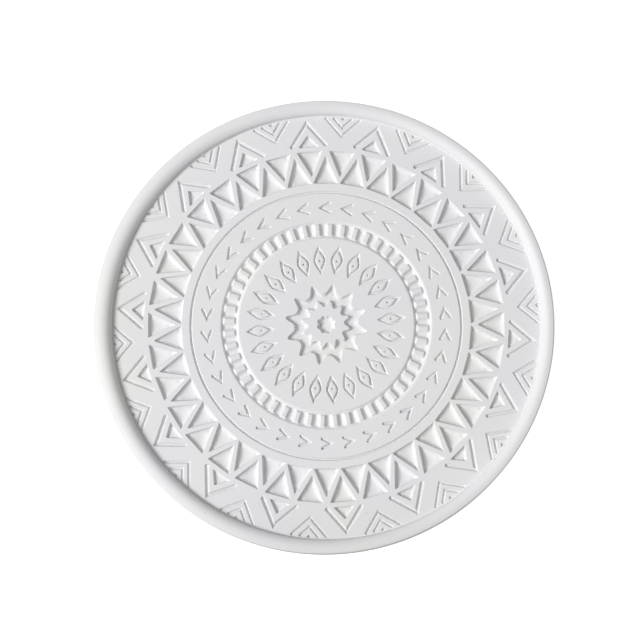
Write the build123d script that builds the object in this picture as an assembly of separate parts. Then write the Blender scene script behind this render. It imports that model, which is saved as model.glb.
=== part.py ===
from build123d import *
import math
import os

# Round silicone resin mould with a low half-round rim and a mandala pressed into its floor.
# Millimetres. Z is up. The origin is on the flat underside at the centre of the rim.

# Overall sizes
OUTER_R = 54.6
TOTAL_H = 5.8
FLOOR_Z = 3.7
SHEET_Z = 2.4

# The pattern and the bead sit slightly off the centre of the outer wall
PATTERN_X = 0.56
PATTERN_Y = 0.05

# Rim: a low rounded bead, cut off by a plain outer wall
RIM_FOOT_R = 50.9
RIM_CREST_R = 53.2
RIM_OUTER_BEND_R = 4.0
RIM_TOP_ROUND = 0.3
RIM_BOTTOM_ROUND = 0.6

# Circles where one ring of the pattern meets the next
CHEVRON_IN_R = 43.0
TRIANGLE_IN_R = 33.1
ARROW_IN_R = 25.55
BLOCK_IN_R = 20.2
PETAL_IN_R = 11.0

# Outermost ring: nested V grooves and arrow-head chevrons
CHEVRON_COUNT = 18
V_ANGLE = 5.55
V_TIP_RS = [46.15, 48.28, 50.4]
V_WIDTH = 0.56
V_DEPTH = 0.40
ARROWHEAD_ANGLE = 15.7
ARROWHEAD_TIP_R = 50.05
ARROWHEAD_INNER_TIP_R = 48.7
ARROWHEAD_FOOT_R = 43.55
ARROWHEAD_FOOT_HALF = 6.65
ARROWHEAD_INNER_FOOT_HALF = 5.05
ARROWHEAD_DEPTH = 0.55
SMALL_TRI_TIP_R = 46.55
SMALL_TRI_BASE_R = 43.55
SMALL_TRI_HALF = 3.3
SMALL_TRI_DEPTH = 0.75

# Triangle ring: points outward and points inward in turn
TRIANGLE_COUNT = 34
OUTWARD_ANGLE = 5.6
OUTWARD_BASE_R = 34.5
OUTWARD_TIP_R = 41.3
OUTWARD_HALF = 4.9
INWARD_ANGLE = 0.3
INWARD_BASE_R = 42.5
INWARD_TIP_R = 36.0
INWARD_HALF = 4.0
TRIANGLE_DEPTH = 0.90

# Arrow ring: one circular groove and small arrow marks
RING_GROOVE_R = 32.24
RING_GROOVE_W = 0.8
RING_GROOVE_DEPTH = 0.45
ARROW_COUNT = 34
ARROW_ANGLE = 7.9
ARROW_R = 28.43
ARROW_LENGTH = 2.45
ARROW_HALF_SPREAD = 1.32
ARROW_WIDTH = 0.52
ARROW_DEPTH = 0.45

# Block ring: a channel with rounded blocks standing in it
BLOCK_COUNT = 48
BLOCK_ANGLE = 5.45
CHANNEL_OUT_R = 25.25
CHANNEL_IN_R = 20.85
CHANNEL_SLOPE = 0.85
CHANNEL_DEPTH = 0.75
BLOCK_MID_R = 23.08
BLOCK_LENGTH = 3.3
BLOCK_WIDTH = 1.72
BLOCK_CORNER = 0.42
BLOCK_SLOPE = 0.36

# Petal ring: pointed recesses with a raised, dimpled centre
PETAL_COUNT = 24
PETAL_ANGLE = 5.7
PETAL_MID_R = 15.68
PETAL_HALF_LENGTH = 3.58
PETAL_HALF_WIDTH = 1.55
PETAL_DEPTH = 0.50
ISLAND_HALF_LENGTH = 1.95
ISLAND_HALF_WIDTH = 1.00
ISLAND_SLOPE = 0.25
DIMPLE_R = 0.30
DIMPLE_DEPTH = 0.25

# Centre: a twelve-pointed star recess around a raised star with an eight-pointed hole
STAR_POINTS = 12
STAR_ANGLE = 20.4
STAR_TIP_R = 9.72
STAR_VALLEY_R = 7.32
STAR_OUT_FLOOR_R = 6.45
STAR_IN_FLOOR_R = 6.15
STAR_DEPTH = 0.95
ISLAND_TIP_R = 5.5
ISLAND_VALLEY_R = 4.1
HOLE_POINTS = 8
HOLE_TIP_R = 2.65
HOLE_VALLEY_R = 2.05
HOLE_FLOOR_R = 0.7
HOLE_DEPTH = 0.80

# How far a cutting shape stands above the floor it cuts
CLEAR = 0.3


def polar(r, degrees):
    a = math.radians(degrees)
    return (r * math.cos(a), r * math.sin(a))


def turned(points, degrees):
    a = math.radians(degrees)
    c = math.cos(a)
    s = math.sin(a)
    return [(c * x - s * y, s * x + c * y) for x, y in points]


def inset(points, d):
    """Move every side of a counter-clockwise outline inward by d."""
    count = len(points)
    out = []
    for i in range(count):
        ax, ay = points[i - 1]
        bx, by = points[i]
        cx, cy = points[(i + 1) % count]
        l1 = math.hypot(bx - ax, by - ay)
        l2 = math.hypot(cx - bx, cy - by)
        n1 = (-(by - ay) / l1, (bx - ax) / l1)
        n2 = (-(cy - by) / l2, (cx - bx) / l2)
        k = d / (1.0 + n1[0] * n2[0] + n1[1] * n2[1])
        out.append((bx + k * (n1[0] + n2[0]), by + k * (n1[1] + n2[1])))
    return out


def is_flat(a, b, c, d):
    u = Vector(*b) - Vector(*a)
    v = Vector(*c) - Vector(*a)
    w = Vector(*d) - Vector(*a)
    return abs(u.cross(v).normalized().dot(w)) < 1e-6


def stack(levels):
    """Closed solid through outlines of equal length, given from the top level down."""
    rings = [[(x, y, z) for x, y in points] for z, points in levels]
    faces = [Face(Wire.make_polygon(rings[0])), Face(Wire.make_polygon(rings[-1]))]
    for upper, lower in zip(rings, rings[1:]):
        for i in range(len(upper)):
            j = (i + 1) % len(upper)
            a, b, c, d = upper[i], upper[j], lower[j], lower[i]
            if is_flat(a, b, c, d):
                faces.append(Face(Wire.make_polygon([a, b, c, d])))
            else:
                faces.append(Face(Wire.make_polygon([a, b, c])))
                faces.append(Face(Wire.make_polygon([a, c, d])))
    solid = Solid(Shell(faces))
    return solid if solid.volume > 0 else Solid(solid.wrapped.Reversed())


def recess(outline, steps):
    """Pocket below the floor: steps are (inset, depth) pairs."""
    levels = [(FLOOR_Z + CLEAR, outline), (FLOOR_Z, outline)]
    for d, depth in steps:
        levels.append((FLOOR_Z - depth, inset(outline, d)))
    return stack(levels)


def annulus(outer_r, inner_r, z0, z1):
    ring = Pos(0, 0, z0) * Cylinder(outer_r, z1 - z0, align=(Align.CENTER, Align.CENTER, Align.MIN))
    bore = Pos(0, 0, z0) * Cylinder(inner_r, z1 - z0, align=(Align.CENTER, Align.CENTER, Align.MIN))
    return ring - bore


def around(shape, count, start):
    return [Rot(0, 0, start + 360.0 * i / count) * shape for i in range(count)]


def place(shape):
    return Pos(PATTERN_X, PATTERN_Y, 0) * shape


def base_sheet():
    sheet = Cylinder(RIM_FOOT_R, SHEET_Z, align=(Align.CENTER, Align.CENTER, Align.MIN))
    return place(sheet)


def bead_height(r):
    """Height of the bead's top surface at radius r from the pattern's centre."""
    width = RIM_CREST_R - RIM_FOOT_R
    height = TOTAL_H - FLOOR_Z
    inner_bend_r = (width * width + height * height) / (2.0 * height)
    bend_r = inner_bend_r if r < RIM_CREST_R else RIM_OUTER_BEND_R
    return TOTAL_H - bend_r + math.sqrt(bend_r ** 2 - (r - RIM_CREST_R) ** 2)


def bead_section():
    """Half section of the rim, taken a little past the outer wall."""
    mid_in = (RIM_FOOT_R + RIM_CREST_R) / 2
    end_r = OUTER_R + 1.0
    mid_out = (RIM_CREST_R + end_r) / 2
    with BuildSketch(Plane.XZ) as section:
        with BuildLine():
            Polyline((end_r, bead_height(end_r)), (end_r, 0), (RIM_FOOT_R, 0), (RIM_FOOT_R, FLOOR_Z))
            ThreePointArc((RIM_FOOT_R, FLOOR_Z), (mid_in, bead_height(mid_in)), (RIM_CREST_R, TOTAL_H))
            ThreePointArc((RIM_CREST_R, TOTAL_H), (mid_out, bead_height(mid_out)),
                          (end_r, bead_height(end_r)))
        make_face()
    return section.sketch


def rim_bead():
    seam = Rot(0, 0, math.degrees(math.atan2(PATTERN_Y, PATTERN_X)))
    bead = place(seam * revolve(bead_section(), axis=Axis.Z))
    wall = seam * Cylinder(OUTER_R, TOTAL_H + 1, align=(Align.CENTER, Align.CENTER, Align.MIN))
    rim = bead & wall
    outer = [e for e in rim.edges() if e.length > 5 * OUTER_R and on_wall(e)]
    outer.sort(key=lambda e: e.position_at(0.3).Z)
    rim = fillet(outer[0], RIM_BOTTOM_ROUND)
    outer = [e for e in rim.edges() if e.length > 5 * OUTER_R and on_wall(e)]
    outer.sort(key=lambda e: e.position_at(0.3).Z)
    return fillet(outer[-1], RIM_TOP_ROUND)


def on_wall(edge):
    point = edge.position_at(0.3)
    return abs(math.hypot(point.X, point.Y) - OUTER_R) < 0.01


def v_groove(tip_r):
    """One V that points at the centre, on the +X axis, running out under the rim."""
    reach = RIM_FOOT_R + 0.5 - tip_r
    w = V_WIDTH * math.sqrt(2) / 2
    outline = [(tip_r - w, 0), (tip_r + reach, -reach - w), (tip_r + reach, -reach + w),
               (tip_r + w, 0), (tip_r + reach, reach - w), (tip_r + reach, reach + w)]
    return recess(outline, [(V_WIDTH * 0.4, V_DEPTH)])


def arrowhead():
    """One chevron that points at the rim, on the +X axis, cut off square at its feet."""
    out_foot = polar(ARROWHEAD_FOOT_R, ARROWHEAD_FOOT_HALF)
    in_foot = polar(ARROWHEAD_FOOT_R, ARROWHEAD_INNER_FOOT_HALF)
    outline = [(ARROWHEAD_TIP_R, 0), out_foot, in_foot, (ARROWHEAD_INNER_TIP_R, 0),
               (in_foot[0], -in_foot[1]), (out_foot[0], -out_foot[1])]
    return recess(outline, [(0.36, ARROWHEAD_DEPTH)])


def small_triangle():
    base = polar(SMALL_TRI_BASE_R, SMALL_TRI_HALF)
    outline = [(SMALL_TRI_TIP_R, 0), base, (base[0], -base[1])]
    return recess(outline, [(0.35, SMALL_TRI_DEPTH * 0.6), (0.8, SMALL_TRI_DEPTH)])


def chevron_band():
    ring = annulus(RIM_FOOT_R, CHEVRON_IN_R, SHEET_Z, FLOOR_Z)
    cuts = []
    for tip_r in V_TIP_RS:
        cuts += around(v_groove(tip_r), CHEVRON_COUNT, V_ANGLE)
    cuts += around(arrowhead(), CHEVRON_COUNT, ARROWHEAD_ANGLE)
    cuts += around(small_triangle(), CHEVRON_COUNT, ARROWHEAD_ANGLE)
    return place(ring - cuts)


def ring_triangle(base_r, tip_r, half):
    base = polar(base_r, half)
    tip = (tip_r, 0)
    outline = [tip, base, (base[0], -base[1])]
    if tip_r < base_r:
        outline = [tip, (base[0], -base[1]), base]
    return recess(outline, [(0.45, TRIANGLE_DEPTH * 0.55), (1.05, TRIANGLE_DEPTH)])


def triangle_band():
    ring = annulus(CHEVRON_IN_R, TRIANGLE_IN_R, SHEET_Z, FLOOR_Z)
    outward = ring_triangle(OUTWARD_BASE_R, OUTWARD_TIP_R, OUTWARD_HALF)
    inward = ring_triangle(INWARD_BASE_R, INWARD_TIP_R, INWARD_HALF)
    cuts = around(outward, TRIANGLE_COUNT, OUTWARD_ANGLE)
    cuts += around(inward, TRIANGLE_COUNT, INWARD_ANGLE)
    return place(ring - cuts)


def arrow_mark():
    """One small arrow on the +X axis that points counter-clockwise (+Y)."""
    half = ARROW_WIDTH / 2
    run = math.hypot(ARROW_LENGTH, ARROW_HALF_SPREAD)
    tip = half * run / ARROW_HALF_SPREAD
    dx = half * ARROW_LENGTH / run
    dy = half * ARROW_HALF_SPREAD / run
    s = ARROW_HALF_SPREAD
    e = ARROW_LENGTH
    outline = [(0, tip), (-s - dx, -e + dy), (-s + dx, -e - dy),
               (0, -tip), (s - dx, -e - dy), (s + dx, -e + dy)]
    placed = [(ARROW_R + x, y) for x, y in outline]
    return recess(placed, [(ARROW_WIDTH * 0.38, ARROW_DEPTH)])


def ring_groove():
    half = RING_GROOVE_W / 2
    with BuildPart() as cut:
        with BuildSketch(Plane.XZ):
            with BuildLine():
                Polyline((RING_GROOVE_R - half, FLOOR_Z + CLEAR), (RING_GROOVE_R - half, FLOOR_Z),
                         (RING_GROOVE_R - half * 0.3, FLOOR_Z - RING_GROOVE_DEPTH),
                         (RING_GROOVE_R + half * 0.3, FLOOR_Z - RING_GROOVE_DEPTH),
                         (RING_GROOVE_R + half, FLOOR_Z), (RING_GROOVE_R + half, FLOOR_Z + CLEAR),
                         close=True)
            make_face()
        revolve(axis=Axis.Z)
    return cut.part


def arrow_band():
    ring = annulus(TRIANGLE_IN_R, ARROW_IN_R, SHEET_Z, FLOOR_Z)
    cuts = around(arrow_mark(), ARROW_COUNT, ARROW_ANGLE)
    cuts.append(ring_groove())
    return place(ring - cuts)


def channel():
    low = FLOOR_Z - CHANNEL_DEPTH
    with BuildPart() as cut:
        with BuildSketch(Plane.XZ):
            with BuildLine():
                Polyline((CHANNEL_IN_R, FLOOR_Z + CLEAR), (CHANNEL_IN_R, FLOOR_Z),
                         (CHANNEL_IN_R + CHANNEL_SLOPE, low), (CHANNEL_OUT_R - CHANNEL_SLOPE, low),
                         (CHANNEL_OUT_R, FLOOR_Z), (CHANNEL_OUT_R, FLOOR_Z + CLEAR), close=True)
            make_face()
        revolve(axis=Axis.Z)
    return cut.part


def block_band():
    ring = annulus(ARROW_IN_R, BLOCK_IN_R, SHEET_Z, FLOOR_Z)
    return place(ring - channel())


def raised_blocks():
    low = FLOOR_Z - CHANNEL_DEPTH
    foot = Pos(BLOCK_MID_R, 0, low) * RectangleRounded(BLOCK_LENGTH, BLOCK_WIDTH, BLOCK_CORNER)
    top = Pos(BLOCK_MID_R, 0, FLOOR_Z) * RectangleRounded(
        BLOCK_LENGTH - 2 * BLOCK_SLOPE, BLOCK_WIDTH - 2 * BLOCK_SLOPE, BLOCK_CORNER * 0.6)
    block = loft([foot, top]) & channel()
    return Compound(children=[place(b) for b in around(block, BLOCK_COUNT, BLOCK_ANGLE)])


def petal_outline(half_length, half_width):
    """Pointed lozenge with slightly full sides, lying along +X about the ring's middle circle."""
    side = [(1.0, 0.0), (0.52, 0.58), (0.2, 0.93), (0.0, 1.0), (-0.2, 0.93), (-0.52, 0.58)]
    other = [(-x, -y) for x, y in side]
    return [(PETAL_MID_R + half_length * x, half_width * y) for x, y in side + other]


def petal_band():
    ring = annulus(BLOCK_IN_R, PETAL_IN_R, SHEET_Z, FLOOR_Z)
    outline = petal_outline(PETAL_HALF_LENGTH, PETAL_HALF_WIDTH)
    cut = recess(outline, [(0.24, PETAL_DEPTH)])
    return place(ring - around(cut, PETAL_COUNT, PETAL_ANGLE))


def petal_islands():
    top = petal_outline(ISLAND_HALF_LENGTH, ISLAND_HALF_WIDTH)
    foot = inset(top, -ISLAND_SLOPE)
    island = stack([(FLOOR_Z, top), (FLOOR_Z - PETAL_DEPTH, foot)])
    dimple = Pos(PETAL_MID_R, 0, FLOOR_Z + 0.001) * Cone(
        DIMPLE_R * 0.3, DIMPLE_R, DIMPLE_DEPTH, align=(Align.CENTER, Align.CENTER, Align.MAX))
    one = island - dimple
    return Compound(children=[place(p) for p in around(one, PETAL_COUNT, PETAL_ANGLE)])


def star_outline(points, tip_r, valley_r, tip_half):
    """Star with rounded valleys: each point is a narrow blunt tip, each valley a shallow arc."""
    pitch = 360.0 / points
    shape = [(-tip_half, tip_r - 0.12), (0.0, tip_r), (tip_half, tip_r - 0.12),
             (pitch * 0.22, valley_r + (tip_r - valley_r) * 0.42),
             (pitch * 0.35, valley_r + (tip_r - valley_r) * 0.10), (pitch * 0.5, valley_r),
             (pitch * 0.65, valley_r + (tip_r - valley_r) * 0.10),
             (pitch * 0.78, valley_r + (tip_r - valley_r) * 0.42)]
    return [polar(r, a + pitch * i) for i in range(points) for a, r in shape]


def onto_circle(outline, r):
    return [(x * r / math.hypot(x, y), y * r / math.hypot(x, y)) for x, y in outline]


def star_band():
    disc = Pos(0, 0, SHEET_Z) * Cylinder(PETAL_IN_R, FLOOR_Z - SHEET_Z,
                                         align=(Align.CENTER, Align.CENTER, Align.MIN))
    outline = turned(star_outline(STAR_POINTS, STAR_TIP_R, STAR_VALLEY_R, 1.6), STAR_ANGLE)
    cut = stack([(FLOOR_Z + CLEAR, outline), (FLOOR_Z, outline),
                 (FLOOR_Z - STAR_DEPTH, onto_circle(outline, STAR_OUT_FLOOR_R))])
    return place(disc - cut)


def star_island():
    outline = turned(star_outline(STAR_POINTS, ISLAND_TIP_R, ISLAND_VALLEY_R, 1.8), STAR_ANGLE)
    body = stack([(FLOOR_Z, outline), (FLOOR_Z - STAR_DEPTH, onto_circle(outline, STAR_IN_FLOOR_R))])
    hole = turned(star_outline(HOLE_POINTS, HOLE_TIP_R, HOLE_VALLEY_R, 4.0), STAR_ANGLE)
    cut = stack([(FLOOR_Z + CLEAR, hole), (FLOOR_Z, hole),
                 (FLOOR_Z - HOLE_DEPTH, onto_circle(hole, HOLE_FLOOR_R))])
    return place(body - cut)


os.makedirs("parts", exist_ok=True)
NODES = {
    "base_sheet": base_sheet(),
    "rim_bead": rim_bead(),
    "chevron_band": chevron_band(),
    "triangle_band": triangle_band(),
    "arrow_band": arrow_band(),
    "block_band": block_band(),
    "raised_blocks": raised_blocks(),
    "petal_band": petal_band(),
    "petal_islands": petal_islands(),
    "star_band": star_band(),
    "star_island": star_island(),
}
for name, shape in NODES.items():
    export_step(shape, "parts/" + name + ".step")
    print(name, len(shape.solids()), round(shape.volume, 2), shape.is_valid)
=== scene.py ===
import bpy
import math
import random
from mathutils import Matrix, Vector
from mathutils.geometry import delaunay_2d_cdt


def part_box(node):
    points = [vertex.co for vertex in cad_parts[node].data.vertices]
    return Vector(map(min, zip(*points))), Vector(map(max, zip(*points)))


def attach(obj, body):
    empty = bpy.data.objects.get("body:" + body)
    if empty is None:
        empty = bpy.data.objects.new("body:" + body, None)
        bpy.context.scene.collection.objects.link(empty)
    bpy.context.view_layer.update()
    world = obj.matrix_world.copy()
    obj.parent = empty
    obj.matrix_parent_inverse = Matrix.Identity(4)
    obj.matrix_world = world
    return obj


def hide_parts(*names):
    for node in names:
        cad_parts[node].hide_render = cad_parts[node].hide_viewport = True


# Round silicone resin mould: a low rounded rim around a floor with a moulded mandala.
# Shapes are worked out in millimetres about the pattern's centre, and turned into metres at the end.

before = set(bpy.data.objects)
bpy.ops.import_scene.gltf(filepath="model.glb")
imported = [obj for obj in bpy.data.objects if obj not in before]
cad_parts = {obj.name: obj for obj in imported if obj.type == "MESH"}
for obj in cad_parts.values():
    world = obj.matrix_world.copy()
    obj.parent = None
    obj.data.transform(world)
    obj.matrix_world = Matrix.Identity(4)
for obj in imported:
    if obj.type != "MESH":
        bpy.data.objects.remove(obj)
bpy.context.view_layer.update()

MM = 0.001


def box_mm(node):
    low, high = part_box(node)
    return low / MM, high / MM


def half_width(node):
    low, high = box_mm(node)
    return (high.x - low.x) / 2


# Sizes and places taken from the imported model
OUTER_R = half_width("rim_bead")
TOP_Z = box_mm("rim_bead")[1].z
FLOOR_Z = box_mm("star_band")[1].z
SHEET_Z = box_mm("star_band")[0].z
CENTRE = (box_mm("base_sheet")[0] + box_mm("base_sheet")[1]) / 2
RIM_FOOT_R = half_width("base_sheet")
CHEVRON_IN_R = half_width("triangle_band")
TRIANGLE_IN_R = half_width("arrow_band")
ARROW_IN_R = half_width("block_band")
BLOCK_IN_R = half_width("petal_band")
PETAL_IN_R = half_width("star_band")

# Points round a whole circle
SEGMENTS = 1152

# How far the softened edge of a recess reaches
LIP = 0.06

# Three-sided recesses: a steep wall, then an easing slope, a dished floor and a dip in each corner
STEEP_WIDTH = 0.2
STEEP_SHARE = 0.7
EASE_POWER = 1.6
CORNER_ROUND = 0.24
CORNER_DIP = 0.38
CORNER_DIP_REACH = 0.75
CORNER_DIP_INSET = 0.75
DISH_POWER = 0.8
STEEP_RINGS = 5
EASE_RINGS = 5
FLOOR_RINGS = 10

# Grooves: places across one where its depth is worked out, in half widths, and how much of its
# section is a plain V
SECTION = [-1.0, -0.85, -0.68, -0.5, -0.32, -0.15, 0.0, 0.15, 0.32, 0.5, 0.68, 0.85, 1.0]
PLAIN_V_SHARE = 0.65

# Rim bead
RIM_CREST_R = 53.2
RIM_OUTER_BEND_R = 4.0
RIM_TOP_ROUND = 0.4
RIM_FOOT_FLAT = 0.08
RIM_FOOT_SOFT = 0.35
OVAL = 0.15
RIM_BOTTOM_ROUND = 0.6

# Chevron ring
CHEVRON_COUNT = 18
V_ANGLE = 5.55
V_TIP_RS = [46.15, 48.28]
V_END_R = 50.72
V_WIDTH = 0.66
V_DEPTH = 0.52
V_DIMPLE_R = 50.05
V_DIMPLE_LENGTH = 0.68
V_DIMPLE_HALF = 0.6
V_DIMPLE_DEPTH = 0.5
V_DIMPLE_WALL = 0.2
V_DIMPLE_WALL_SHARE = 0.7
V_DIMPLE_ROUND = 0.06
ARROWHEAD_ANGLE = 15.7
ARROWHEAD_APEX_R = 49.38
ARROWHEAD_FOOT = (43.45, 4.35)
ARROWHEAD_WIDTH = 0.95
ARROWHEAD_DEPTH = 0.66
ARROWHEAD_SQUARE_ENDS = 0.5
SMALL_TRI_TIP_R = 46.55
SMALL_TRI_BASE_R = 43.55
SMALL_TRI_HALF = 3.3
SMALL_TRI_DEPTH = 0.85
SMALL_TRI_WALL = 0.62
SMALL_TRI_WALL_SHARE = 0.8

# Small air bubbles in the plain floor: (radius, degrees, bubble radius)
BUBBLES = [(43.5, -48.0, 0.15), (48.4, 10.7, 0.12)]
BUBBLE_DEPTH_PER_RADIUS = 1.6

# Triangle ring
TRIANGLE_COUNT = 34
OUTWARD_ANGLE = 5.6
OUTWARD_BASE_R = 34.5
OUTWARD_TIP_R = 41.3
OUTWARD_HALF = 4.98
INWARD_ANGLE = 0.3
INWARD_BASE_R = 42.5
INWARD_TIP_R = 36.0
INWARD_HALF = 4.2
TRIANGLE_DEPTH = 1.2
TRIANGLE_WALL = 1.1
TRIANGLE_WALL_SHARE = 0.6

# Arrow ring
RING_GROOVE_R = 32.24
RING_GROOVE_W = 0.75
RING_GROOVE_DEPTH = 0.56
ARROW_COUNT = 34
ARROW_ANGLE = 7.9
ARROW_R = 28.43
ARROW_LENGTH = 2.45
ARROW_HALF_SPREAD = 1.32
ARROW_WIDTH = 0.72
ARROW_DEPTH = 0.6

# Block ring
BLOCK_COUNT = 48
BLOCK_ANGLE = 5.45
CHANNEL_OUT_R = 25.25
CHANNEL_IN_R = 20.85
CHANNEL_SLOPE = 1.2
CHANNEL_DEPTH = 0.8
BLOCK_MID_R = 23.08
BLOCK_LENGTH = 3.5
BLOCK_WIDTH = 3.0
BLOCK_END_SLOPE = 0.62
BLOCK_SIDE_SLOPE = 1.0
BLOCK_SIDE_POWER = 1.9
BLOCK_ROWS = 54

# Petal ring
PETAL_COUNT = 24
PETAL_ANGLE = 5.7
PETAL_MID_R = 15.68
PETAL_HALF_LENGTH = 3.58
PETAL_HALF_WIDTH = 1.5
PETAL_LOW_HALF_LENGTH = 2.6
PETAL_LOW_HALF_WIDTH = 1.2
PETAL_DEPTH = 0.64
PETAL_LIP_LENGTH = 0.12
PETAL_LIP_SIDE = 0.05
PETAL_SIDE_POWER = 1.6
PETAL_TIP_POWER = 1.15
ISLAND_HALF_LENGTH = 1.95
ISLAND_HALF_WIDTH = 0.96
DOME_INSET_LENGTH = 0.3
DOME_INSET_SIDE = 0.2
DIMPLE_R = 0.27
DIMPLE_DEPTH = 0.55
DIMPLE_INWARD = 0.18
PETAL_POINTS = 40

# Centre star
STAR_POINTS = 12
STAR_ANGLE = 20.4
STAR_STEPS = 192
STAR_TIP_R = 9.8
STAR_VALLEY_R = 7.6
STAR_FLOOR_TIP_R = 8.7
STAR_FLOOR_VALLEY_R = 6.55
STAR_FOOT_TIP_R = 6.3
STAR_FOOT_VALLEY_R = 5.12
STAR_DEPTH = 1.0
ISLAND_TIP_R = 5.6
ISLAND_VALLEY_R = 4.3
HOLE_POINTS = 8
HOLE_TIP_R = 2.25
HOLE_VALLEY_R = 1.9
HOLE_FLOOR_R = 1.2
HOLE_DEPTH = 1.2

# Silicone: noise scales are per metre
COOL_WHITE = (0.79, 0.785, 0.815)
WARM_WHITE = (0.808, 0.806, 0.802)
CLOUD_SCALE = 45.0
GRAIN_SCALE = 1500.0
BUMP_SCALE = 900.0
PORE_SCALE = 190.0

# Studio: distances in metres, lens in millimetres, power in watts, angles in degrees, with azimuth
# counter-clockwise from +X
STUDIO_FLOOR_R = 8.0
KEY_AZIMUTH = 193.0
KEY_ELEVATION = 44.0
KEY_DISTANCE = 1.6
KEY_SIZE = 0.6
KEY_POWER = 22.9
SKY_LIGHT = 0.337
SKY_SEEN = 1.05
FLOOR_GLOW_SEEN = 0.84
CAMERA_LENS = 125.5
CAMERA_ELEVATION = 80.84
CAMERA_DISTANCE = 0.5316
CAMERA_ROLL = 0.193

# Studio places in millimetres: the camera's aim from the pattern's centre, and how far the
# opening in the studio floor stays inside the mould's outer wall
CAMERA_AIM_X = -1.494
CAMERA_AIM_Y = 1.089
FLOOR_HOLE_INSET = 0.8

dice = random.Random(7)


def polar(r, degrees):
    a = math.radians(degrees)
    return (r * math.cos(a), r * math.sin(a))


def turned(points, degrees):
    a = math.radians(degrees)
    c = math.cos(a)
    s = math.sin(a)
    return [(c * p[0] - s * p[1], s * p[0] + c * p[1]) + tuple(p[2:]) for p in points]


def smooth(t):
    t = min(1.0, max(0.0, t))
    return t * t * (3.0 - 2.0 * t)


def circle(r, z, count=SEGMENTS):
    return [polar(r, 360.0 * i / count) + (z,) for i in range(count)]


def at_height(points, z):
    return [(p[0], p[1], z) for p in points]


class Surface:
    """A closed skin in millimetres about the pattern's centre, with equal points welded."""

    def __init__(self):
        self.verts = []
        self.faces = []
        self.flat = set()
        self.index = {}

    def vert(self, p):
        key = (round(p[0], 4), round(p[1], 4), round(p[2], 4))
        if key not in self.index:
            self.index[key] = len(self.verts)
            self.verts.append(p)
        return self.index[key]

    def face(self, points):
        ids = []
        for p in points:
            i = self.vert(p)
            if i not in ids:
                ids.append(i)
        if len(ids) > 2:
            self.faces.append(ids)

    def band(self, first, second):
        """Faces between two closed rings of equal length."""
        for i in range(len(first)):
            j = (i + 1) % len(first)
            self.face([first[i], first[j], second[j], second[i]])

    def stack(self, rings):
        for a, b in zip(rings, rings[1:]):
            self.band(a, b)

    def fan(self, ring, centre):
        for i in range(len(ring)):
            self.face([ring[i], ring[(i + 1) % len(ring)], centre])

    def grid(self, rows):
        for a, b in zip(rows, rows[1:]):
            for i in range(len(a) - 1):
                self.face([a[i], a[i + 1], b[i + 1], b[i]])

    def land(self, loops, z):
        """Flat floor inside the first loop and outside the others."""
        points = []
        edges = []
        owner = []
        for k, loop in enumerate(loops):
            start = len(points)
            points += [(p[0], p[1]) for p in loop]
            owner += [k] * len(loop)
            edges += [(start + i, start + (i + 1) % len(loop)) for i in range(len(loop))]
        result = delaunay_2d_cdt([Vector(p) for p in points], edges, [], 0, 1e-7)
        source = [ids[0] for ids in result[3]]
        for tri in result[2]:
            ids = [source[i] for i in tri]
            corners = [points[i] for i in ids]
            owners = {owner[i] for i in ids}
            if len(owners) == 1:
                k = owners.pop()
                if is_inside(middle(corners), loops[k]) != (k == 0):
                    continue
            if area(corners) < 0:
                corners.reverse()
            self.flat.add(len(self.faces))
            self.face([c + (z,) for c in corners])

    def close_ring(self, outer, inner, low):
        """Walls and underside of a ring between two circles."""
        low_outer = at_height(outer, low)
        low_inner = at_height(inner, low)
        self.band(low_outer, outer)
        self.band(inner, low_inner)
        self.band(low_inner, low_outer)

    def build(self, name, nodes, material):
        mesh = bpy.data.meshes.new(name)
        moved = [((x + CENTRE.x) * MM, (y + CENTRE.y) * MM, z * MM) for x, y, z in self.verts]
        mesh.from_pydata(moved, [], self.faces)
        mesh.set_sharp_from_angle(angle=math.radians(60))
        mesh.polygons.foreach_set("use_smooth", [i not in self.flat for i in range(len(self.faces))])
        mesh.update()
        mesh.materials.append(material)
        obj = bpy.data.objects.new(name, mesh)
        bpy.context.scene.collection.objects.link(obj)
        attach(obj, "root")
        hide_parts(*nodes)
        return obj


def middle(points):
    return (sum(p[0] for p in points) / len(points), sum(p[1] for p in points) / len(points))


def area(points):
    total = 0.0
    for i in range(len(points)):
        a = points[i - 1]
        b = points[i]
        total += a[0] * b[1] - b[0] * a[1]
    return total / 2


def is_inside(point, loop):
    x, y = point
    inside = False
    for i in range(len(loop)):
        ax, ay = loop[i - 1][0], loop[i - 1][1]
        bx, by = loop[i][0], loop[i][1]
        if (ay > y) != (by > y) and x < (bx - ax) * (y - ay) / (by - ay) + ax:
            inside = not inside
    return inside


def rounded(corners, radius, side_steps, arc_steps=5):
    """Counter-clockwise outline through the corners, each corner rounded off."""
    out = []
    count = len(corners)
    arcs = []
    for i in range(count):
        a = Vector(corners[i - 1])
        b = Vector(corners[i])
        c = Vector(corners[(i + 1) % count])
        to_a = (a - b).normalized()
        to_c = (c - b).normalized()
        half = to_a.angle(to_c) / 2
        cut = radius / math.tan(half)
        arcs.append((b + to_a * cut, b, b + to_c * cut))
    for i in range(count):
        start, corner, end = arcs[i]
        for k in range(arc_steps + 1):
            t = k / arc_steps
            p = start * (1 - t) ** 2 + corner * 2 * t * (1 - t) + end * t * t
            out.append((p.x, p.y))
        following = arcs[(i + 1) % count][0]
        for k in range(1, side_steps):
            t = k / side_steps
            p = end.lerp(following, t)
            out.append((p.x, p.y))
    return out


def incircle(corners):
    """Centre and radius of the circle that touches a triangle's three sides."""
    a, b, c = [Vector(p) for p in corners]
    la = (b - c).length
    lb = (c - a).length
    lc = (a - b).length
    centre = (a * la + b * lb + c * lc) / (la + lb + lc)
    return centre, 2 * abs(area(corners)) / (la + lb + lc)


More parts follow.
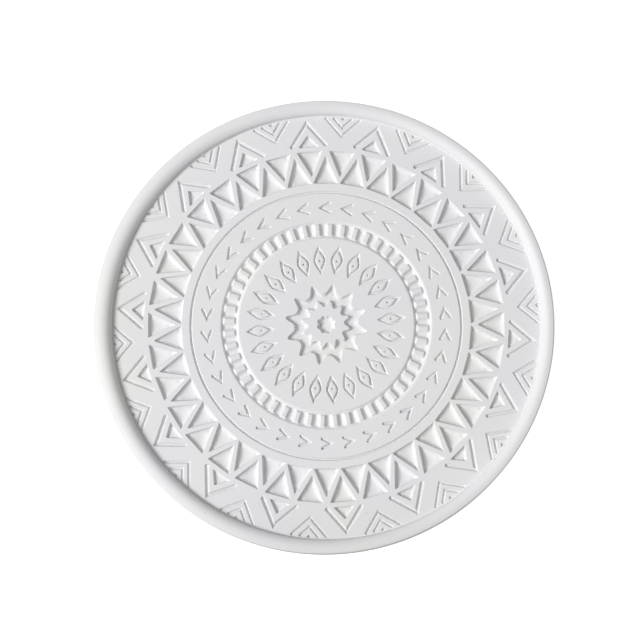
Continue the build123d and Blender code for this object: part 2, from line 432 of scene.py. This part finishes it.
def dish(corners, p):
    """1 at the middle of a triangle, falling smoothly to 0 along its sides."""
    whole = area(corners)
    product = 27.0
    for i in range(3):
        product *= max(0.0, area([corners[i - 1], corners[i], p]) / whole)
    return product ** DISH_POWER


def bowl(surface, corners, turn, depth, wall_share, wall_width, radius=CORNER_ROUND):
    """A recess with three straight sides: a steep even wall, then a floor dished to the middle."""
    outline = rounded(corners, radius, 12)
    centre, reach = incircle(corners)
    inward = min(0.3, CORNER_DIP_INSET / reach)
    dips = [tuple(Vector(c).lerp(centre, inward)) for c in corners]
    last = reach * 0.96
    stops = [-LIP + (STEEP_WIDTH + LIP) * k / STEEP_RINGS for k in range(STEEP_RINGS + 1)]
    stops += [STEEP_WIDTH + (wall_width - STEEP_WIDTH) * k / EASE_RINGS for k in range(1, EASE_RINGS + 1)]
    stops += [wall_width + (last - wall_width) * k / FLOOR_RINGS for k in range(1, FLOOR_RINGS + 1)]
    rings = []
    for d in stops:
        scale = 1 - d / reach
        wall = wall_share * wall_share_at(d, wall_width)
        ring = []
        for x, y in outline:
            p = (centre.x + (x - centre.x) * scale, centre.y + (y - centre.y) * scale)
            dip = CORNER_DIP * wall * max(smooth(1 - math.dist(p, c) / CORNER_DIP_REACH) for c in dips)
            ring.append(p + (FLOOR_Z - depth * (wall + dip + (1 - wall_share) * dish(corners, p)),))
        rings.append(turned(ring, turn))
    surface.stack(rings)
    deepest = depth * (wall_share + (1 - wall_share) * dish(corners, tuple(centre)))
    surface.fan(rings[-1], turned([(centre.x, centre.y, FLOOR_Z - deepest)], turn)[0])
    return rings[0]


def wall_share_at(d, width):
    """Share of a wall's drop at distance d inside its edge: steep at the edge, then easing off."""
    steep = smooth((d + LIP) / (STEEP_WIDTH + LIP))
    t = min(1.0, max(0.0, d / width))
    return STEEP_SHARE * steep + (1 - STEEP_SHARE) * (1 - (1 - t) ** EASE_POWER)


def pit(surface, r, degrees, radius, depth):
    """A small air bubble that broke through the floor."""
    rings = []
    for scale, share in [(1.0, 0.0), (0.8, 0.35), (0.6, 0.75), (0.35, 0.95)]:
        ring = []
        for k in range(16):
            x, y = polar(radius * scale, 22.5 * k)
            ring.append((r + x, y, FLOOR_Z - depth * share))
        rings.append(turned(ring, degrees))
    surface.stack(rings)
    surface.fan(rings[-1], turned([(r, 0.0, FLOOR_Z - depth)], degrees)[0])
    return rings[0]


def trough(t):
    """Share of a groove's depth at t half widths from its middle line."""
    plain = 1 - abs(t)
    round_bottom = 0.5 + 0.5 * math.cos(math.pi * t)
    return PLAIN_V_SHARE * plain + (1 - PLAIN_V_SHARE) * round_bottom


def groove(surface, start, apex, end, width, depth, turn, square=0.0):
    """A groove along two straight legs with rounded ends, and its outline at floor height."""
    half = width / 2 + LIP
    first = Vector(apex) - Vector(start)
    second = Vector(end) - Vector(apex)
    u = first.normalized()
    v = second.normalized()
    rows = []
    caps = [0.0, 0.22, 0.45, 0.68, 0.87, 1.0]
    for c in caps:
        w = math.sin(c * math.pi / 2)
        along = half * (1 - math.cos(c * math.pi / 2)) * (1 - square)
        rows.append((Vector(start) + u * along, u, w))
    legs = 9
    lead = half * (1 - square)
    corner = 1.05 * half * math.tan(u.angle(v) / 2)
    for k in range(1, legs + 1):
        rows.append((Vector(start) + u * (lead + (first.length - lead - corner) * k / legs), u, 1.0))
    bisector = (u + v).normalized()
    rows.append((Vector(apex), bisector, 1 / bisector.dot(u)))
    for k in range(legs):
        rows.append((Vector(apex) + v * (corner + (second.length - lead - corner) * k / legs), v, 1.0))
    for c in reversed(caps):
        w = math.sin(c * math.pi / 2)
        along = half * (1 - math.cos(c * math.pi / 2)) * (1 - square)
        rows.append((Vector(end) - v * along, v, w))
    grid = []
    for place, direction, w in rows:
        side = Vector((-direction.y, direction.x))
        deep = depth * min(1.0, w) ** 0.7
        row = []
        for t in SECTION:
            p = place + side * (t * half * w)
            z = FLOOR_Z - deep * trough(t)
            row.append((p.x, p.y, z))
        grid.append(turned(row, turn))
    surface.grid(grid)
    left = [row[-1] for row in grid[1:-1]]
    right = [row[0] for row in grid[1:-1]]
    return [grid[0][0]] + right + [grid[-1][0]] + left[::-1]


def ring_land(surface, outer_r, inner_r, holes):
    outer = circle(outer_r, FLOOR_Z)
    inner = circle(inner_r, FLOOR_Z)
    surface.land([outer] + holes + [inner], FLOOR_Z)
    surface.close_ring(outer, inner, SHEET_Z)


def triangle_corners(base_r, tip_r, half):
    x, y = polar(base_r, half)
    if tip_r > base_r:
        return [(tip_r, 0.0), (x, y), (x, -y)]
    return [(tip_r, 0.0), (x, -y), (x, y)]


def wobble(value, share):
    """The value, changed at random by up to a share of itself."""
    return value * (1 + dice.uniform(-share, share))


def chevron_ring():
    surface = Surface()
    holes = []
    dimple_base_r = V_DIMPLE_R + V_DIMPLE_LENGTH
    dimple = [(V_DIMPLE_R, 0.0), (dimple_base_r, -V_DIMPLE_HALF), (dimple_base_r, V_DIMPLE_HALF)]
    for i in range(CHEVRON_COUNT):
        v_turn = V_ANGLE + 360.0 * i / CHEVRON_COUNT
        for tip_r in V_TIP_RS:
            reach = math.sqrt(V_END_R ** 2 - tip_r ** 2 / 2) - tip_r / math.sqrt(2)
            reach /= math.sqrt(2)
            start = (tip_r + reach, reach)
            end = (tip_r + reach, -reach)
            holes.append(groove(surface, start, (tip_r, 0.0), end, V_WIDTH,
                                wobble(V_DEPTH, 0.15), v_turn))
        holes.append(bowl(surface, dimple, v_turn, wobble(V_DIMPLE_DEPTH, 0.2), V_DIMPLE_WALL_SHARE,
                          V_DIMPLE_WALL, V_DIMPLE_ROUND))
        head_turn = ARROWHEAD_ANGLE + 360.0 * i / CHEVRON_COUNT
        x, y = ARROWHEAD_FOOT
        holes.append(groove(surface, (x, y), (ARROWHEAD_APEX_R, 0.0), (x, -y), ARROWHEAD_WIDTH,
                            wobble(ARROWHEAD_DEPTH, 0.08), head_turn, ARROWHEAD_SQUARE_ENDS))
        small = triangle_corners(SMALL_TRI_BASE_R, SMALL_TRI_TIP_R, SMALL_TRI_HALF)
        holes.append(bowl(surface, small, head_turn + dice.uniform(-0.08, 0.08),
                          wobble(SMALL_TRI_DEPTH, 0.07), SMALL_TRI_WALL_SHARE,
                          wobble(SMALL_TRI_WALL, 0.12)))
    for r, degrees, radius in BUBBLES:
        holes.append(pit(surface, r, degrees, radius, radius * BUBBLE_DEPTH_PER_RADIUS))
    ring_land(surface, RIM_FOOT_R, CHEVRON_IN_R, holes)
    return surface


def triangle_ring():
    surface = Surface()
    holes = []
    for i in range(TRIANGLE_COUNT):
        turn = 360.0 * i / TRIANGLE_COUNT
        outward = triangle_corners(OUTWARD_BASE_R, OUTWARD_TIP_R, OUTWARD_HALF)
        inward = triangle_corners(INWARD_BASE_R, INWARD_TIP_R, INWARD_HALF)
        for corners, angle in [(outward, OUTWARD_ANGLE), (inward, INWARD_ANGLE)]:
            holes.append(bowl(surface, corners, angle + turn + dice.uniform(-0.05, 0.05),
                              wobble(TRIANGLE_DEPTH, 0.05), TRIANGLE_WALL_SHARE,
                              wobble(TRIANGLE_WALL, 0.12)))
    ring_land(surface, CHEVRON_IN_R, TRIANGLE_IN_R, holes)
    return surface


def arrow_ring():
    surface = Surface()
    holes = []
    half = RING_GROOVE_W / 2
    rings = []
    for t in SECTION[::-1]:
        z = FLOOR_Z - RING_GROOVE_DEPTH * trough(t)
        rings.append(circle(RING_GROOVE_R + half * t, z))
    surface.stack(rings)
    for i in range(ARROW_COUNT):
        turn = ARROW_ANGLE + 360.0 * i / ARROW_COUNT
        start = (ARROW_R - ARROW_HALF_SPREAD, -ARROW_LENGTH)
        end = (ARROW_R + ARROW_HALF_SPREAD, -ARROW_LENGTH)
        holes.append(groove(surface, start, (ARROW_R, 0.0), end, ARROW_WIDTH,
                            wobble(ARROW_DEPTH, 0.12), turn))
    outer = circle(TRIANGLE_IN_R, FLOOR_Z)
    inner = circle(ARROW_IN_R, FLOOR_Z)
    surface.land([outer, rings[0]], FLOOR_Z)
    surface.land([rings[-1]] + holes + [inner], FLOOR_Z)
    surface.close_ring(outer, inner, SHEET_Z)
    return surface


def block_depth(r, across):
    """Depth below the floor in the channel, at radius r and a distance across from a block's middle."""
    slope = CHANNEL_SLOPE + LIP
    channel = smooth((CHANNEL_OUT_R + LIP - r) / slope) * smooth((r - CHANNEL_IN_R + LIP) / slope)
    along = smooth((BLOCK_LENGTH / 2 - abs(r - BLOCK_MID_R)) / BLOCK_END_SLOPE)
    sideways = min(1.0, max(0.0, (BLOCK_WIDTH / 2 - abs(across)) / BLOCK_SIDE_SLOPE)) ** BLOCK_SIDE_POWER
    return CHANNEL_DEPTH * channel * (1 - along * sideways)


def block_ring():
    surface = Surface()
    rings = []
    for k in range(BLOCK_ROWS + 1):
        r = ARROW_IN_R + (BLOCK_IN_R - ARROW_IN_R) * k / BLOCK_ROWS
        ring = []
        for i in range(SEGMENTS):
            degrees = 360.0 * i / SEGMENTS
            pitch = 360.0 / BLOCK_COUNT
            off = (degrees - BLOCK_ANGLE + pitch / 2) % pitch - pitch / 2
            depth = block_depth(r, r * math.radians(off))
            ring.append(polar(r, degrees) + (FLOOR_Z - depth,))
        rings.append(ring)
    surface.stack(rings)
    surface.close_ring(rings[0], rings[-1], SHEET_Z)
    return surface


def petal(half_length, half_width):
    """Pointed lozenge with full sides, counter-clockwise about the petal's own middle."""
    out = []
    for i in range(PETAL_POINTS):
        a = 2 * math.pi * i / PETAL_POINTS
        u = math.cos(a)
        w = (1 - abs(u) ** PETAL_SIDE_POWER) ** PETAL_TIP_POWER
        out.append((half_length * u, half_width * (w if math.sin(a) > 0 else -w)))
    return out


def between(first, second, t):
    return [(a[0] + (b[0] - a[0]) * t, a[1] + (b[1] - a[1]) * t) for a, b in zip(first, second)]


def petal_ring():
    surface = Surface()
    holes = []
    edge = petal(PETAL_HALF_LENGTH, PETAL_HALF_WIDTH)
    lip = petal(PETAL_HALF_LENGTH + PETAL_LIP_LENGTH, PETAL_HALF_WIDTH + PETAL_LIP_SIDE)
    low = petal(PETAL_LOW_HALF_LENGTH, PETAL_LOW_HALF_WIDTH)
    top = petal(ISLAND_HALF_LENGTH, ISLAND_HALF_WIDTH)
    dome = petal(ISLAND_HALF_LENGTH - DOME_INSET_LENGTH, ISLAND_HALF_WIDTH - DOME_INSET_SIDE)
    pit_edge = [polar(DIMPLE_R, 360.0 * k / PETAL_POINTS) for k in range(PETAL_POINTS)]
    pit_r = PETAL_MID_R - DIMPLE_INWARD
    for i in range(PETAL_COUNT):
        turn = PETAL_ANGLE + dice.uniform(-0.25, 0.25) + 360.0 * i / PETAL_COUNT
        depth = wobble(PETAL_DEPTH, 0.12)
        # Outlines from the lip in to the dimple, each with its share of the depth
        levels = [(lip, 0.0), (edge, 0.07), (between(edge, low, 0.25), 0.33),
                  (between(edge, low, 0.6), 0.75), (between(edge, low, 0.85), 0.95), (low, 1.0),
                  (between(low, top, 0.25), 0.88), (between(low, top, 0.6), 0.4),
                  (between(low, top, 0.85), 0.12), (top, 0.04), (dome, 0.0),
                  (between(dome, pit_edge, 0.6), 0.0)]
        rings = []
        for outline, share in levels:
            ring = [(PETAL_MID_R + x, y, FLOOR_Z - depth * share) for x, y in outline]
            rings.append(turned(ring, turn))
        sink = wobble(DIMPLE_DEPTH, 0.3)
        for scale, share in [(1.0, 0.04), (0.8, 0.35), (0.6, 0.7), (0.35, 0.95)]:
            ring = [(pit_r + x * scale, y * scale, FLOOR_Z - sink * share) for x, y in pit_edge]
            rings.append(turned(ring, turn))
        surface.stack(rings)
        surface.fan(rings[-1], turned([(pit_r, 0.0, FLOOR_Z - sink)], turn)[0])
        holes.append(rings[0])
    ring_land(surface, BLOCK_IN_R, PETAL_IN_R, holes)
    return surface


def star_shape(points, tip_r, valley_r, narrow):
    """Star outline as a list of radii, from tip to tip. A higher narrow gives slimmer tips."""
    steps = STAR_STEPS // points
    out = []
    for i in range(points * steps):
        t = abs((i % steps) / steps * 2 - 1)
        out.append(valley_r + (tip_r - valley_r) * smooth(t) ** narrow)
    return out


def ring_of(radii, z, grow=0.0):
    count = len(radii)
    return [polar(r + grow, STAR_ANGLE + 360.0 * i / count) + (z,) for i, r in enumerate(radii)]


def blend(first, second, t):
    return [a + (b - a) * t for a, b in zip(first, second)]


def star_foot():
    """Line where the star recess meets the foot of the raised star."""
    return star_shape(STAR_POINTS, STAR_FOOT_TIP_R, STAR_FOOT_VALLEY_R, narrow=1.6)


def star_ring():
    surface = Surface()
    edge = star_shape(STAR_POINTS, STAR_TIP_R, STAR_VALLEY_R, narrow=2.1)
    floor = star_shape(STAR_POINTS, STAR_FLOOR_TIP_R, STAR_FLOOR_VALLEY_R, narrow=1.8)
    foot = star_foot()
    rings = [ring_of(edge, FLOOR_Z, LIP)]
    steps = 14
    for k in range(steps + 1):
        t = k / steps
        share = 0.04 + 0.96 * (1 - (1 - t) ** 2.0)
        rings.append(ring_of(blend(edge, floor, t), FLOOR_Z - STAR_DEPTH * share))
    rings.append(ring_of(blend(floor, foot, 0.5), FLOOR_Z - STAR_DEPTH * 1.02))
    rings.append(ring_of(foot, FLOOR_Z - STAR_DEPTH))
    surface.stack(rings)
    outer = circle(PETAL_IN_R, FLOOR_Z)
    surface.land([outer, rings[0]], FLOOR_Z)
    low_outer = at_height(outer, SHEET_Z)
    low_foot = at_height(rings[-1], SHEET_Z)
    surface.band(low_outer, outer)
    surface.band(rings[-1], low_foot)
    # The underside is a flat floor turned over
    under = Surface()
    under.land([low_outer, low_foot], SHEET_Z)
    for ids in under.faces:
        surface.face([under.verts[i] for i in reversed(ids)])
    return surface


def star_island():
    surface = Surface()
    edge = star_shape(STAR_POINTS, ISLAND_TIP_R, ISLAND_VALLEY_R, narrow=1.7)
    foot = star_foot()
    rings = []
    steps = 12
    for k in range(steps + 1):
        t = k / steps
        share = 0.05 + 0.95 * (1 - t ** 1.5)
        rings.append(ring_of(blend(foot, edge, t), FLOOR_Z - STAR_DEPTH * share))
    rings[0] = ring_of(foot, FLOOR_Z - STAR_DEPTH)
    rings.append(ring_of(edge, FLOOR_Z, -LIP))
    surface.stack(rings)
    hole = star_shape(HOLE_POINTS, HOLE_TIP_R, HOLE_VALLEY_R, narrow=0.8)
    floor = [HOLE_FLOOR_R] * len(hole)
    inner = [ring_of(hole, FLOOR_Z, LIP)]
    for k in range(steps + 1):
        t = k / steps
        share = 0.05 + 0.95 * (1 - (1 - t) ** 2.2)
        inner.append(ring_of(blend(hole, floor, t), FLOOR_Z - HOLE_DEPTH * share))
    surface.stack(inner)
    surface.fan(inner[-1], (0.0, 0.0, FLOOR_Z - HOLE_DEPTH))
    surface.land([rings[-1], inner[0]], FLOOR_Z)
    low = at_height(rings[0], SHEET_Z)
    surface.band(low, rings[0])
    surface.fan(low[::-1], (0.0, 0.0, SHEET_Z))
    return surface


def base_sheet():
    surface = Surface()
    top = circle(RIM_FOOT_R, SHEET_Z)
    low = circle(RIM_FOOT_R, 0.0)
    surface.band(low, top)
    surface.fan(top, (0.0, 0.0, SHEET_Z))
    surface.fan(low[::-1], (0.0, 0.0, 0.0))
    return surface


def wall_radius(degrees):
    """Distance from the pattern's centre to the outer wall in one direction."""
    a = math.radians(degrees)
    along = CENTRE.x * math.cos(a) + CENTRE.y * math.sin(a)
    round_r = -along + math.sqrt(OUTER_R ** 2 - CENTRE.x ** 2 - CENTRE.y ** 2 + along ** 2)
    return round_r + OVAL * math.cos(2 * a)


def bead_height(r):
    width = RIM_CREST_R - RIM_FOOT_R
    height = TOP_Z - FLOOR_Z
    bend_r = (width * width + height * height) / (2 * height)
    if r > RIM_CREST_R:
        bend_r = RIM_OUTER_BEND_R
    return TOP_Z - bend_r + math.sqrt(bend_r ** 2 - (r - RIM_CREST_R) ** 2)


def rim_section(wall_r):
    """Half section from the inner foot, over the crest, down the wall and back under to the foot."""
    width = RIM_CREST_R - RIM_FOOT_R
    inner_steps = 22
    top_steps = 8
    bend_steps = 8
    wall_steps = 6
    points = []
    for k in range(inner_steps):
        a = math.radians(90.0 * (1 - k / inner_steps))
        r = RIM_CREST_R - width * math.sin(a)
        rise = smooth((r - RIM_FOOT_R - RIM_FOOT_FLAT) / RIM_FOOT_SOFT)
        points.append((r, FLOOR_Z + (bead_height(r) - FLOOR_Z) * rise))
    points[0] = (RIM_FOOT_R, FLOOR_Z)
    edge_r = wall_r - RIM_TOP_ROUND
    for k in range(top_steps):
        r = RIM_CREST_R + (edge_r - RIM_CREST_R) * k / top_steps
        points.append((r, bead_height(r)))
    edge_z = bead_height(edge_r)
    for k in range(bend_steps + 1):
        a = math.radians(90.0 * k / bend_steps)
        points.append((edge_r + RIM_TOP_ROUND * math.sin(a), edge_z - RIM_TOP_ROUND * (1 - math.cos(a))))
    for k in range(1, wall_steps):
        t = k / wall_steps
        z = (edge_z - RIM_TOP_ROUND) * (1 - t) + RIM_BOTTOM_ROUND * t
        points.append((wall_r, z))
    for k in range(bend_steps + 1):
        a = math.radians(90.0 * k / bend_steps)
        r = wall_r - RIM_BOTTOM_ROUND * (1 - math.cos(a))
        points.append((r, RIM_BOTTOM_ROUND * (1 - math.sin(a))))
    points.append((RIM_FOOT_R, 0.0))
    return points


def rim():
    surface = Surface()
    sections = []
    for i in range(SEGMENTS):
        degrees = 360.0 * i / SEGMENTS
        section = rim_section(wall_radius(degrees))
        sections.append([polar(r, degrees) + (z,) for r, z in section])
    rings = [list(ring) for ring in zip(*sections)]
    rings.append(rings[0])
    for a, b in zip(rings, rings[1:]):
        surface.band(b, a)
    return surface


def noise(tree, where, scale, detail):
    made = tree.nodes.new("ShaderNodeTexNoise")
    made.inputs["Scale"].default_value = scale
    made.inputs["Detail"].default_value = detail
    tree.links.new(where, made.inputs["Vector"])
    return made.outputs["Fac"]


def ramp(tree, value, low, high, low_colour, high_colour):
    made = tree.nodes.new("ShaderNodeValToRGB")
    made.color_ramp.elements[0].position = low
    made.color_ramp.elements[0].color = low_colour + (1,)
    made.color_ramp.elements[1].position = high
    made.color_ramp.elements[1].color = high_colour + (1,)
    tree.links.new(value, made.inputs["Fac"])
    return made.outputs["Color"]


def times(tree, first, second):
    made = tree.nodes.new("ShaderNodeMix")
    made.data_type = "RGBA"
    made.blend_type = "MULTIPLY"
    made.inputs["Factor"].default_value = 1.0
    tree.links.new(first, made.inputs[6])
    tree.links.new(second, made.inputs[7])
    return made.outputs[2]


def edge_share(tree, where, axis, start, end):
    """0 up to the start place along an axis, 1 from the end place on."""
    split = tree.nodes.new("ShaderNodeSeparateXYZ")
    tree.links.new(where, split.inputs["Vector"])
    scale = tree.nodes.new("ShaderNodeMapRange")
    scale.inputs["From Min"].default_value = start * MM
    scale.inputs["From Max"].default_value = end * MM
    tree.links.new(split.outputs[axis], scale.inputs["Value"])
    return scale.outputs["Result"]


def painted_pore_shade(tree, where):
    """Painted shade of sparse pin-point bubble pits: dark in the middle of a few cells, white elsewhere.
    """
    cells = tree.nodes.new("ShaderNodeTexVoronoi")
    cells.inputs["Scale"].default_value = PORE_SCALE
    tree.links.new(where, cells.inputs["Vector"])
    return ramp(tree, cells.outputs["Distance"], 0.015, 0.045, (0.75, 0.74, 0.72), (1.0, 1.0, 1.0))


def silicone():
    """White satin silicone: faint warm and cool clouds, a soft grain and a few small air bubbles.

    It has painted shade: a little darker and warmer low in the recesses, dark dots in a few pin-point
    bubble pits, a little darker towards the front, and a little darker and warmer towards the left, where
    the light falls off.
    """
    material = bpy.data.materials.new("silicone_white")
    material.use_nodes = True
    tree = material.node_tree
    link = tree.links.new
    shader = tree.nodes["Principled BSDF"]
    shader.inputs["Roughness"].default_value = 0.55
    shader.inputs["Specular IOR Level"].default_value = 0.35
    where = tree.nodes.new("ShaderNodeTexCoord").outputs["Object"]
    clouds = ramp(tree, noise(tree, where, CLOUD_SCALE, 3.0), 0.35, 0.65, COOL_WHITE, WARM_WHITE)
    white = (1.0, 1.0, 1.0)
    grain = ramp(tree, noise(tree, where, GRAIN_SCALE, 4.0), 0.3, 0.7, (0.975, 0.975, 0.975), white)
    # Painted shade: the colour turns a little darker and warmer with depth below the floor, low in the
    # recesses.
    low = ramp(tree, edge_share(tree, where, "Z", FLOOR_Z - 0.05, FLOOR_Z - 0.9), 0.0, 1.0,
               white, (0.985, 0.982, 0.97))
    # Painted shade: the colour is up to about 7 percent darker towards the front, where the light falls
    # off.
    front = ramp(tree, edge_share(tree, where, "Y", -36.0, -55.0), 0.0, 1.0, white, (0.935, 0.93, 0.915))
    # Painted shade: the colour is a little darker and warmer towards the left, where the light falls off.
    left = ramp(tree, edge_share(tree, where, "X", -40.0, -54.0), 0.0, 1.0, white, (0.985, 0.98, 0.955))
    # The colour is the clouds and grain times painted shade: low in the recesses, in the pin-point pores,
    # and towards the front and left.
    colour = times(tree, times(tree, clouds, grain), times(tree, low, painted_pore_shade(tree, where)))
    colour = times(tree, colour, times(tree, front, left))
    link(colour, shader.inputs["Base Color"])
    bump = tree.nodes.new("ShaderNodeBump")
    bump.inputs["Strength"].default_value = 0.2
    bump.inputs["Distance"].default_value = 0.0001
    link(noise(tree, where, BUMP_SCALE, 4.0), bump.inputs["Height"])
    link(bump.outputs["Normal"], shader.inputs["Normal"])
    return material


def camera_only(tree, other, seen):
    """One value for what the camera sees directly, another for the light that reaches the mould."""
    rays = tree.nodes.new("ShaderNodeLightPath")
    scale = tree.nodes.new("ShaderNodeMapRange")
    scale.inputs["To Min"].default_value = other
    scale.inputs["To Max"].default_value = seen
    tree.links.new(rays.outputs["Is Camera Ray"], scale.inputs["Value"])
    return scale.outputs["Result"]


def floor_material():
    """Pale matt floor, lit up for the camera only so that it reads as plain white paper.

    Its underneath is clear, so that the mould's underside can be seen from below.
    """
    material = bpy.data.materials.new("studio_floor")
    material.use_nodes = True
    tree = material.node_tree
    shader = tree.nodes["Principled BSDF"]
    shader.inputs["Base Color"].default_value = (0.62, 0.62, 0.62, 1)
    shader.inputs["Roughness"].default_value = 0.9
    shader.inputs["Emission Color"].default_value = (1, 1, 1, 1)
    tree.links.new(camera_only(tree, 0.0, FLOOR_GLOW_SEEN), shader.inputs["Emission Strength"])
    side = tree.nodes.new("ShaderNodeNewGeometry")
    clear = tree.nodes.new("ShaderNodeBsdfTransparent")
    mix = tree.nodes.new("ShaderNodeMixShader")
    tree.links.new(side.outputs["Backfacing"], mix.inputs[0])
    tree.links.new(shader.outputs["BSDF"], mix.inputs[1])
    tree.links.new(clear.outputs["BSDF"], mix.inputs[2])
    tree.links.new(mix.outputs["Shader"], tree.nodes["Material Output"].inputs["Surface"])
    return material


def studio_floor():
    """Large round sheet, open just under the mould so that light reaches the underside."""
    count = 144
    hole_r = (OUTER_R - FLOOR_HOLE_INSET) * MM
    verts = []
    for r in (hole_r, STUDIO_FLOOR_R):
        verts += [polar(r, 360.0 * i / count) + (0.0,) for i in range(count)]
    faces = []
    for i in range(count):
        j = (i + 1) % count
        faces.append((i, count + i, count + j, j))
    mesh = bpy.data.meshes.new("studio_floor")
    mesh.from_pydata(verts, [], faces)
    mesh.materials.append(floor_material())
    obj = bpy.data.objects.new("studio_floor", mesh)
    bpy.context.scene.collection.objects.link(obj)
    return obj


def aim(obj, target, roll=0.0):
    direction = target - obj.location
    obj.rotation_euler = direction.to_track_quat("-Z", "Y").to_euler()
    obj.rotation_euler = (obj.rotation_euler.to_matrix() @ Matrix.Rotation(roll, 3, "Z")).to_euler()


def area_light(name, azimuth, elevation, distance, size, power):
    """A soft square light; azimuth is measured counter-clockwise from +X."""
    data = bpy.data.lights.new(name, "AREA")
    data.size = size
    data.energy = power
    obj = bpy.data.objects.new(name, data)
    a = math.radians(azimuth)
    e = math.radians(elevation)
    obj.location = Vector((math.cos(a) * math.cos(e), math.sin(a) * math.cos(e), math.sin(e))) * distance
    bpy.context.scene.collection.objects.link(obj)
    aim(obj, Vector((0, 0, 0)))
    return obj


def camera():
    data = bpy.data.cameras.new("camera")
    data.lens = CAMERA_LENS
    data.sensor_width = 36.0
    data.clip_start = 0.01
    obj = bpy.data.objects.new("camera", data)
    target = Vector((CENTRE.x + CAMERA_AIM_X, CENTRE.y + CAMERA_AIM_Y, FLOOR_Z)) * MM
    e = math.radians(CAMERA_ELEVATION)
    obj.location = target + Vector((0, -math.cos(e), math.sin(e))) * CAMERA_DISTANCE
    bpy.context.scene.collection.objects.link(obj)
    aim(obj, target, math.radians(CAMERA_ROLL))
    bpy.context.scene.camera = obj
    return obj


def studio():
    studio_floor()
    area_light("key", KEY_AZIMUTH, KEY_ELEVATION, KEY_DISTANCE, KEY_SIZE, KEY_POWER)
    world = bpy.data.worlds.new("studio")
    world.use_nodes = True
    tree = world.node_tree
    sky = tree.nodes["Background"]
    sky.inputs["Color"].default_value = (1, 1, 1, 1)
    tree.links.new(camera_only(tree, SKY_LIGHT, SKY_SEEN), sky.inputs["Strength"])
    bpy.context.scene.world = world
    camera()
    bpy.context.scene.view_settings.view_transform = "Standard"


rubber = silicone()
base_sheet().build("base_sheet_skin", ["base_sheet"], rubber)
rim().build("rim_bead_skin", ["rim_bead"], rubber)
chevron_ring().build("chevron_band_skin", ["chevron_band"], rubber)
triangle_ring().build("triangle_band_skin", ["triangle_band"], rubber)
arrow_ring().build("arrow_band_skin", ["arrow_band"], rubber)
block_ring().build("block_band_skin", ["block_band", "raised_blocks"], rubber)
petal_ring().build("petal_band_skin", ["petal_band", "petal_islands"], rubber)
star_ring().build("star_band_skin", ["star_band"], rubber)
star_island().build("star_island_skin", ["star_island"], rubber)
studio()
